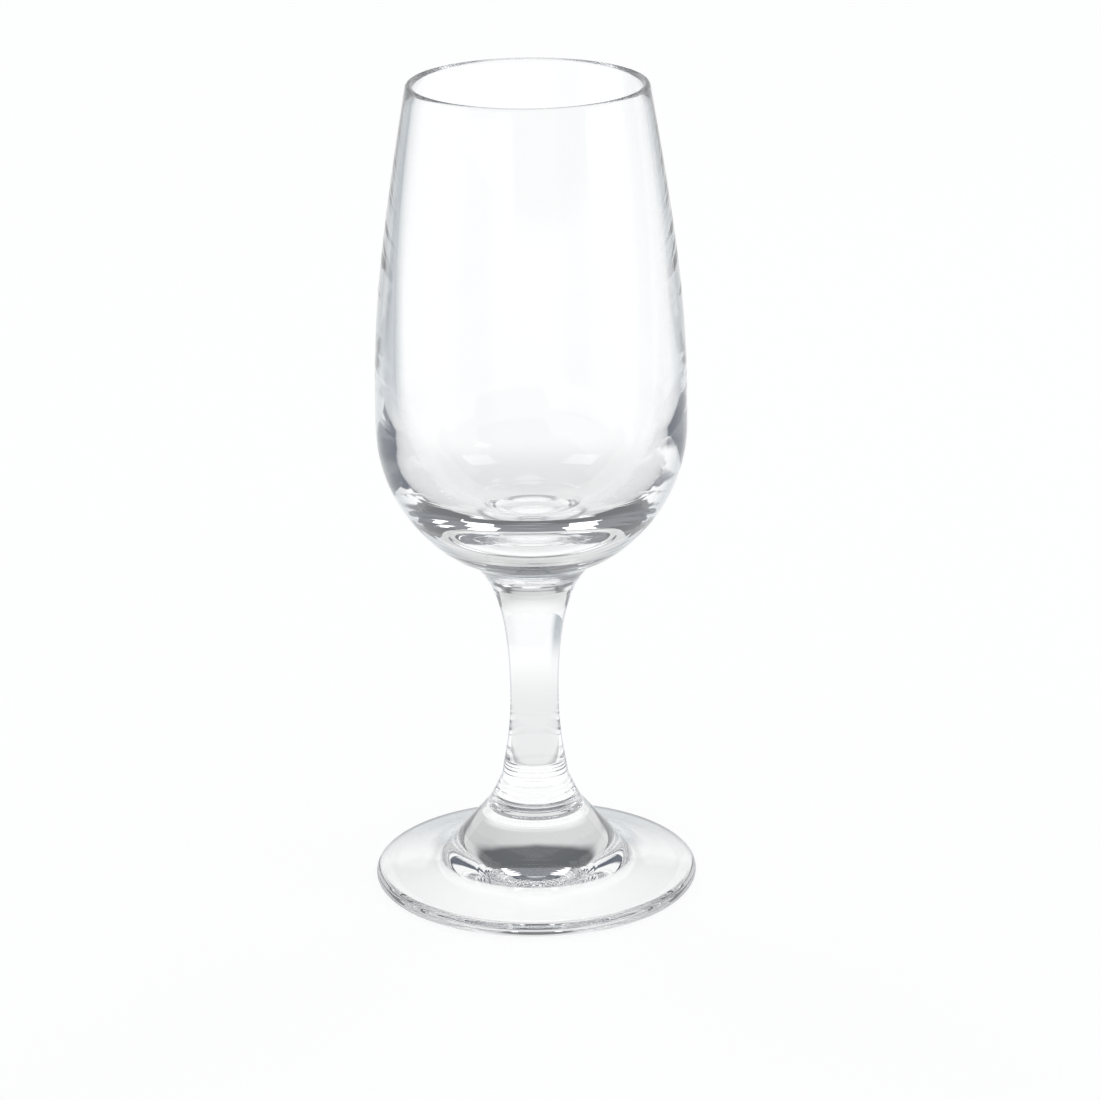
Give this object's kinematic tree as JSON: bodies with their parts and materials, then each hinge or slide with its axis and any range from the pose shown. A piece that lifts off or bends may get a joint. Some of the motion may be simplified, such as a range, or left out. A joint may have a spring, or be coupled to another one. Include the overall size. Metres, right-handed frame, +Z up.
{
  "type": "sherry glass",
  "caption": "Clear stemmed glass with a tall egg-shaped bowl, a short waisted stem and a round plate foot, for sherry and other fortified wine.",
  "frame": {"origin": "middle of the ring that the foot stands on, on the glass's own axis", "axes": "+Z up along the axis, from the foot to the lip; the glass is round, so +X and +Y are free"},
  "size_m": [0.0554, 0.0554, 0.14],
  "materials": {
    "clear_glass": "polished clear soda-lime glass"
  },
  "bodies": {
    "root": {"bowl": "clear_glass", "stem": "clear_glass", "foot": "clear_glass"}
  },
  "joints": []
}
